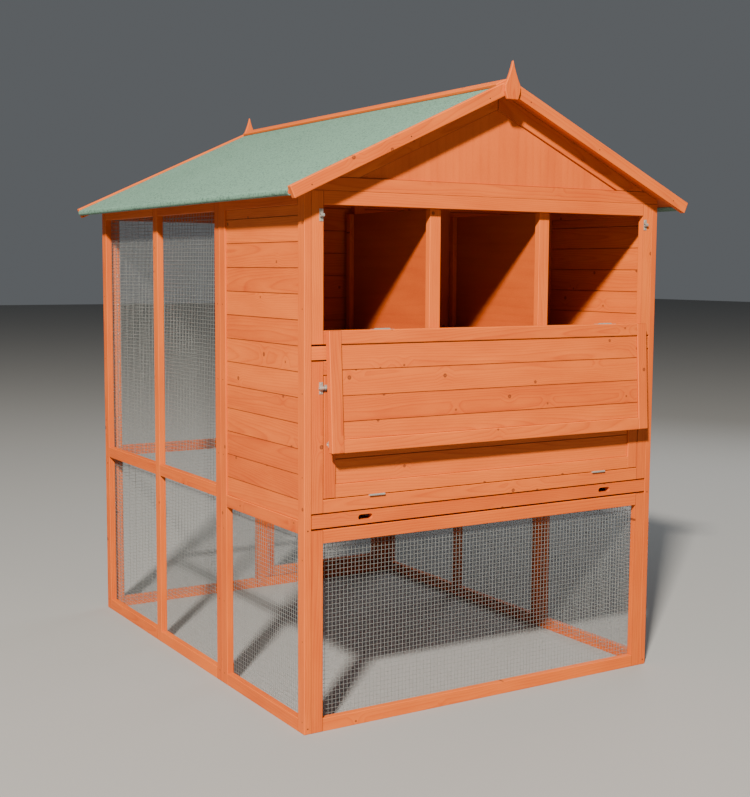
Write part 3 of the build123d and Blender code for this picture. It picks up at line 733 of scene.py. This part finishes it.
WIRED = (
    ("side_wire", "hutch"),
    ("front_wire", "hutch"),
    ("back_wire", "hutch"),
    ("access_door_wire", "access_door"),
)
for node, body in WIRED:
    sheets = grown_on_sheets(node, weave_tree, weave_sockets, WIRE_SIZES)
    piece = joined(f"{node}_mesh", sheets, zinc_wire)
    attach(piece, body)
    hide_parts(node)


# Hinges and bolts
# Pressed steel hardware, plated with zinc: butt hinges whose leaves are rolled round pins, and barrel bolts
# that run in strap loops into keepers. All of it is screwed to the timber.
def zinc_plate():
    """Bright zinc with faint cloudy passivation and fine scratches."""
    made, tree, shader = finish_material("zinc_plate")
    place = add(tree, "ShaderNodeTexCoord", {}).outputs["Object"]
    scratch_rate = (200.0, 1500.0, 1500.0)
    cloud = noise(tree, place, scale=160.0, detail=3.0)
    scratch = noise(tree, vector_of(tree, "MULTIPLY", place, scratch_rate))
    cool = (0.34, 0.34, 0.33, 1.0)
    warm = (0.52, 0.48, 0.38, 1.0)
    surface = {
        "Base Color": blended(tree, cloud, cool, warm),
        "Metallic": 0.6,
        "Roughness": graded(tree, cloud, 0.30, 0.48),
        "Normal": embossed(tree, scratch, strength=0.15, depth=0.0001),
    }
    fill(tree, shader, surface)
    return made


zinc = zinc_plate()
for node in (
    "frame_hinge_leaves",
    "flap_hinge_leaves",
    "lower_door_hinge_leaves",
    "access_door_hinge_leaves",
    "bolt_keepers",
    "flap_bolt_plates",
    "access_door_bolt_plate",
    "flap_bolt_left",
    "flap_bolt_right",
    "lower_door_bolt_left",
    "lower_door_bolt_right",
    "access_door_bolt",
):
    refinish(node, zinc)


# Screws, brads and staples
# Cross-head screws hold the hardware and the corners, brads hold the bargeboards and the side walls, and
# wire staples hold the mesh. They are driven until their heads stand just proud of the surface.
SCREW = 0.0023
SCREW_PROUD = 0.0008
LEAF_SCREW_PROUD = 0.00015
CROSS_LONG = 0.64
CROSS_WIDE = 0.20
CROSS_DEEP = 0.4
BRAD = 0.0020
BRAD_PROUD = 0.0002
STAPLE = 0.006
STAPLE_RISE = 0.5
STAPLE_THICK = 0.0012
STAPLE_SIZES = {"Spacing": 0.11}
STAPLE_IN = 0.010
STAPLE_BENDS = 7
PLATE_THICK = 0.0012
LONG_PLATE = 2.5


def lofted_head(rings):
    """A fastener head that faces along z, through rings of equal count from its rim to its closed middle."""
    cut = bmesh.new()
    loops = [[cut.verts.new(point) for point in ring] for ring in rings]
    for lower, upper in zip(loops, loops[1:]):
        for i in range(len(lower)):
            cut.faces.new((lower[i - 1], lower[i], upper[i], upper[i - 1]))
    cut.faces.new(loops[-1])
    mesh = bpy.data.meshes.new("head")
    cut.to_mesh(mesh)
    cut.free()
    return bpy.data.objects.new("head", mesh)


def cross_head(radius, proud):
    """A countersunk screw head: its rim, its rounded edge, then its cross recess and the floor of it."""
    arm = CROSS_LONG * radius
    half = CROSS_WIDE * radius
    cross = []
    for turn in range(4):
        quarter = Matrix.Rotation(turn * math.pi / 2, 3, "Z")
        for x, y in ((arm, -half), (arm, half), (half, half)):
            cross.append(quarter @ Vector((x, y, 0.0)))
    rings = []
    for reach, height in ((1.0, -proud), (1.0, 0.3 * proud), (0.85, 0.9 * proud)):
        lift = Vector((0.0, 0.0, height))
        rings.append([corner.normalized() * reach * radius + lift for corner in cross])
    for height in (proud, proud - CROSS_DEEP * radius):
        lift = Vector((0.0, 0.0, height))
        rings.append([corner + lift for corner in cross])
    return lofted_head(rings)


def brad_head(radius, proud, sides=10):
    """A small dished nail head: its rim, its rounded edge, its top and the dish in it."""
    rings = []
    for reach, height in ((1.0, -proud), (1.0, 0.5 * proud), (0.8, proud), (0.45, 0.6 * proud)):
        ring = []
        for i in range(sides):
            angle = 2 * math.pi * i / sides
            across = reach * radius
            ring.append(Vector((across * math.cos(angle), across * math.sin(angle), height)))
        rings.append(ring)
    return lofted_head(rings)


def blackened_steel():
    """Dull black steel with a little brown in it; on the brads its darkness is also painted shade of their
    sunk holes.
    """
    made, tree, shader = finish_material("blackened_steel")
    place = add(tree, "ShaderNodeTexCoord", {}).outputs["Object"]
    bloom = noise(tree, place, scale=700.0)
    black = (0.020, 0.014, 0.011, 1.0)
    brown = (0.085, 0.042, 0.024, 1.0)
    surface = {
        "Base Color": blended(tree, bloom, black, brown),
        "Metallic": 0.6,
        "Roughness": graded(tree, bloom, 0.45, 0.75),
    }
    fill(tree, shader, surface)
    return made


black_steel_and_hole_shade = blackened_steel()
fastener_tree, fastener_in, fastener_sockets = geometry_tree(
    "fasteners",
    {
        "Points": "NodeSocketGeometry",
        "Head": "NodeSocketObject",
        "Finish": "NodeSocketMaterial",
        "Seed": "NodeSocketInt",
    },
)
facing = add(
    fastener_tree, "GeometryNodeInputNamedAttribute", {"Name": "facing"}, data_type="FLOAT_VECTOR"
).outputs["Attribute"]
squared = add(fastener_tree, "FunctionNodeAlignRotationToVector", {"Vector": facing}, axis="Z").outputs[0]
chance = add(fastener_tree, "FunctionNodeRandomValue", {3: math.pi, "Seed": fastener_in.outputs["Seed"]})
twist = add(fastener_tree, "FunctionNodeAxisAngleToRotation", {"Angle": chance.outputs[1]}).outputs[0]
turned = add(fastener_tree, "FunctionNodeRotateRotation", {0: squared, 1: twist}, rotation_space="LOCAL")
one_head = add(fastener_tree, "GeometryNodeObjectInfo", {"Object": fastener_in.outputs["Head"]})
heads = add(
    fastener_tree,
    "GeometryNodeInstanceOnPoints",
    {
        "Points": fastener_in.outputs["Points"],
        "Instance": one_head.outputs["Geometry"],
        "Rotation": turned.outputs[0],
    },
)
close_tree(fastener_tree, heads.outputs[0], fastener_in.outputs["Finish"])


def driven(name, body, head, finish, places):
    """Fasteners of one kind in one body, at places that are each a point and the way the head faces."""
    points = bpy.data.meshes.new(name)
    points.from_pydata([tuple(point) for point, _ in places], [], [])
    ways = points.attributes.new("facing", "FLOAT_VECTOR", "POINT")
    for row, (_, way) in zip(ways.data, places):
        row.vector = way
    bpy.context.scene.collection.objects.link(head)
    values = {"Head": head, "Finish": finish, "Seed": len(name)}
    mesh = grown_mesh(fastener_tree, fastener_sockets, values, points)
    bpy.data.objects.remove(head)
    piece = stand(name, mesh)
    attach(piece, body)


def flat_solids(node):
    """The solids of a node, each as its whole flat faces: their middle, normal, area and longest edge."""
    cut = solids_of(node)
    join_flat(cut)
    cut.normal_update()
    solids = []
    for solid in islands(cut):
        faces = []
        for face in {face for point in solid for face in point.link_faces}:
            low, high = corners(face.verts)
            side = longest_of(face.edges)
            measures = (face.calc_area(), run_of(side), side.calc_length())
            faces.append(((low + high) / 2, face.normal.copy(), *measures))
        solids.append(faces)
    cut.free()
    return solids


def plate_places(node):
    """Two screws in each plate of a node: past the ends of a keeper's loop, or between a bolt's two loops."""
    places = []
    for faces in flat_solids(node):
        middle, back, area, along, length = max(faces, key=lambda face: face[2])
        across = back.cross(along)
        width = area / length
        if length > LONG_PLATE * width:
            reach = along * (length / 2 - 2 * SCREW)
        else:
            reach = across * (width / 2 - SCREW)
        for hand in (-1, 1):
            places.append((middle - back * PLATE_THICK + hand * reach, -back))
    return places


def leaf_places(node, way, pivot, reach):
    """Two screws in each hinge leaf of a node that lies near a pivot, on its face that looks one way."""
    places = []
    for faces in flat_solids(node):
        middle, normal, area, along, length = max(faces, key=lambda face: face[2] * face[1].dot(way))
        if (middle - pivot).cross(along).length < reach:
            for hand in (-1, 1):
                places.append((middle + hand * along * length / 3, normal))
    return places


plates = {"hutch": "bolt_keepers", "flap": "flap_bolt_plates", "access_door": "access_door_bolt_plate"}
for body, node in plates.items():
    driven(f"{body}_plate_screws", body, cross_head(SCREW, SCREW_PROUD), zinc, plate_places(node))

LEAF_REACH = 0.04
pivots = {joint["name"]: Vector(joint["pos_m"]) for joint in frame["joints"] if joint["type"] == "hinge"}
flap_pivot = pivots["flap_hinge"]
gate_pivot = pivots["access_door_hinge"]
RIGHTWARDS = Vector((1.0, 0.0, 0.0))
leaf_screws = {
    "hutch": leaf_places("frame_hinge_leaves", UPRIGHT, flap_pivot, LEAF_REACH)
    + leaf_places("frame_hinge_leaves", -RIGHTWARDS, gate_pivot, LEAF_REACH),
    "flap": leaf_places("flap_hinge_leaves", UPRIGHT, flap_pivot, LEAF_REACH),
    "access_door": leaf_places("access_door_hinge_leaves", RIGHTWARDS, gate_pivot, LEAF_REACH),
}
for body, places in leaf_screws.items():
    driven(f"{body}_leaf_screws", body, cross_head(SCREW, LEAF_SCREW_PROUD), zinc, places)

BRAD_TOP = 1.438
BRAD_STEP = 0.234
BRAD_ROWS = 7
BRAD_CORNER_IN = 0.0123
BRAD_SEAM_IN = 0.0176
CORNER_SCREWS = (0.016, 0.586)
wall_brads = []
corner_screws = []
for side, hand in (("left", -1), ("right", 1)):
    house_low, house_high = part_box(f"{side}_house_stiles")
    aviary_low, aviary_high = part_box(f"{side}_aviary_stiles")
    outer = house_low.x if hand < 0 else house_high.x
    for y in (
        house_low.y + BRAD_CORNER_IN,
        house_high.y - BRAD_SEAM_IN,
        aviary_low.y + BRAD_SEAM_IN,
        aviary_high.y - BRAD_CORNER_IN,
    ):
        for row in range(BRAD_ROWS):
            wall_brads.append(((outer, y, BRAD_TOP - row * BRAD_STEP), (hand, 0.0, 0.0)))
    edge_middle = (house_low.x + house_high.x) / 2
    for z in CORNER_SCREWS:
        corner_screws.append(((edge_middle, house_low.y, z), (0.0, -1.0, 0.0)))
        corner_screws.append(((edge_middle, aviary_high.y, z), (0.0, 1.0, 0.0)))
# The brads' dark heads are black steel together with painted shade of the holes they are sunk in
driven("wall_brads", "hutch", brad_head(BRAD, BRAD_PROUD), black_steel_and_hole_shade, wall_brads)
driven("corner_screws", "hutch", cross_head(SCREW, SCREW_PROUD), black_steel_and_hole_shade, corner_screws)

BARGE_BRADS = (0.075, 0.345, 0.660)
BARGE_LINE = 1.840
BARGE_FALL = 0.458
FINIAL_BRAD_X = 0.015
FINIAL_BRAD_Z = 1.836
FINIAL_BRAD_SUNK = 0.00022
roof_brads = []
for node, face in (("bargeboards", 0), ("bargeboards", 1), ("finials", 0), ("finials", 1)):
    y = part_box(node)[face].y
    way = (0.0, 2.0 * face - 1.0, 0.0)
    for hand in (-1, 1):
        if node == "finials":
            sunk = y - way[1] * FINIAL_BRAD_SUNK
            roof_brads.append(((hand * FINIAL_BRAD_X, sunk, FINIAL_BRAD_Z), way))
            continue
        for x in BARGE_BRADS:
            roof_brads.append(((hand * x, y, BARGE_LINE - BARGE_FALL * x), way))
driven("roof_brads", "hutch", brad_head(BRAD, BRAD_PROUD), black_steel_and_hole_shade, roof_brads)

staple_tree, staple_in, staple_sockets = geometry_tree(
    "staples", {"Width": "NodeSocketFloat", "Height": "NodeSocketFloat", "Spacing": "NodeSocketFloat"}
)
inner_width = math_of(staple_tree, "SUBTRACT", staple_in.outputs["Width"], 2 * STAPLE_IN)
inner_height = math_of(staple_tree, "SUBTRACT", staple_in.outputs["Height"], 2 * STAPLE_IN)
rim = add(
    staple_tree, "GeometryNodeCurvePrimitiveQuadrilateral", {"Width": inner_width, "Height": inner_height}
)
half_width = math_of(staple_tree, "DIVIDE", staple_in.outputs["Width"], 2.0)
half_height = math_of(staple_tree, "DIVIDE", staple_in.outputs["Height"], 2.0)
sheet_middle = add(staple_tree, "ShaderNodeCombineXYZ", {0: half_width, 2: half_height}).outputs[0]
stood = add(
    staple_tree,
    "GeometryNodeTransform",
    {"Geometry": rim.outputs[0], "Translation": sheet_middle, "Rotation": (math.pi / 2, 0.0, 0.0)},
)
spots = add(
    staple_tree,
    "GeometryNodeCurveToPoints",
    {"Curve": stood.outputs[0], "Length": staple_in.outputs["Spacing"]},
    mode="LENGTH",
)
lengthways = add(
    staple_tree,
    "FunctionNodeAlignRotationToVector",
    {"Vector": spots.outputs["Tangent"]},
    axis="X",
    pivot_axis="Y",
)
crown = add(
    staple_tree,
    "GeometryNodeCurveArc",
    {"Resolution": STAPLE_BENDS, "Radius": STAPLE, "Sweep Angle": math.pi},
    mode="RADIUS",
)
flattened = add(
    staple_tree, "GeometryNodeTransform", {"Geometry": crown.outputs[0], "Scale": (1.0, STAPLE_RISE, 1.0)}
)
staple_ring = add(
    staple_tree, "GeometryNodeCurvePrimitiveCircle", {"Resolution": WIRE_SIDES, "Radius": STAPLE_THICK / 2}
)
staple = add(
    staple_tree,
    "GeometryNodeCurveToMesh",
    {"Curve": flattened.outputs[0], "Profile Curve": staple_ring.outputs[0], "Fill Caps": True},
)
stapled = add(
    staple_tree,
    "GeometryNodeInstanceOnPoints",
    {"Points": spots.outputs[0], "Instance": staple.outputs[0], "Rotation": lengthways.outputs[0]},
)
close_tree(staple_tree, stapled.outputs[0], zinc)
for node, body in WIRED:
    rows = grown_on_sheets(node, staple_tree, staple_sockets, STAPLE_SIZES)
    piece = joined(f"{node}_staples", rows, zinc)
    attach(piece, body)


# Studio
# A pale floor, a small far lamp at the front left that throws the shadows, weak fill from the other side and
# a dim sky. The camera stands where the photograph was taken.
CAMERA_AT = Vector((-2.31521, -3.86978, 1.31542))
CAMERA_YAW = math.radians(31.67)
CAMERA_DIP = math.radians(5.82)
CAMERA_ROLL = math.radians(0.34)
FOCAL_PIXELS = 1272.85
IMAGE_HIGH = 797
SENSOR = 36.0

camera_data = bpy.data.cameras.new("camera")
camera_data.sensor_fit = "VERTICAL"
camera_data.sensor_height = SENSOR
camera_data.lens = FOCAL_PIXELS / IMAGE_HIGH * SENSOR
camera = stand("camera", camera_data)
level_ahead = Vector((math.sin(CAMERA_YAW), math.cos(CAMERA_YAW), 0.0))
ahead = level_ahead * math.cos(CAMERA_DIP) - UPRIGHT * math.sin(CAMERA_DIP)
level_right = level_ahead.cross(UPRIGHT)
level_up = level_right.cross(ahead)
camera_right = level_right * math.cos(CAMERA_ROLL) + level_up * math.sin(CAMERA_ROLL)
camera_up = level_up * math.cos(CAMERA_ROLL) - level_right * math.sin(CAMERA_ROLL)
camera_turn = Matrix((camera_right, camera_up, -ahead)).transposed().to_4x4()
camera.matrix_world = Matrix.Translation(CAMERA_AT) @ camera_turn
bpy.context.scene.camera = camera

FLOOR_HALF = 40.0
FLOOR_COLOUR = (0.26, 0.258, 0.250, 1.0)
FLOOR_ROUGHNESS = 0.9
floor_mesh = bpy.data.meshes.new("floor")
floor_corners = [(x * FLOOR_HALF, y * FLOOR_HALF, 0.0) for x, y in ((-1, -1), (1, -1), (1, 1), (-1, 1))]
floor_mesh.from_pydata(floor_corners, [], [(0, 1, 2, 3)])
pale_floor, floor_tree, floor_shader = finish_material("pale_floor")
fill(floor_tree, floor_shader, {"Base Color": FLOOR_COLOUR, "Roughness": FLOOR_ROUGHNESS})
floor_mesh.materials.append(pale_floor)
floor = stand("floor", floor_mesh)

LAMP_AIM = Vector((0.0, 0.0, 0.9))


def lamp(name, towards, distance, size, power, colour):
    """A square lamp that stands away from the hutch in a direction and faces it."""
    data = bpy.data.lights.new(name, "AREA")
    data.shape = "SQUARE"
    data.size = size
    data.energy = power
    data.color = colour
    direction = Vector(towards).normalized()
    turn = direction.to_track_quat("Z", "Y").to_matrix().to_4x4()
    stand(name, data).matrix_world = Matrix.Translation(LAMP_AIM + direction * distance) @ turn


lamp(
    "key_lamp",
    towards=(-0.54, -0.58, 0.55),
    distance=14.0,
    size=0.9,
    power=6600.0,
    colour=(1.0, 0.94, 0.85),
)
lamp(
    "fill_lamp",
    towards=(0.8, 0.4, 0.5),
    distance=6.0,
    size=3.0,
    power=130.0,
    colour=(0.92, 0.96, 1.0),
)

SKY_COLOUR = (0.88, 0.94, 1.0, 1.0)
SKY_STRENGTH = 0.125
world = bpy.data.worlds.new("studio")
world.use_nodes = True
sky = world.node_tree.nodes["Background"]
fill(world.node_tree, sky, {"Color": SKY_COLOUR, "Strength": SKY_STRENGTH})
bpy.context.scene.world = world
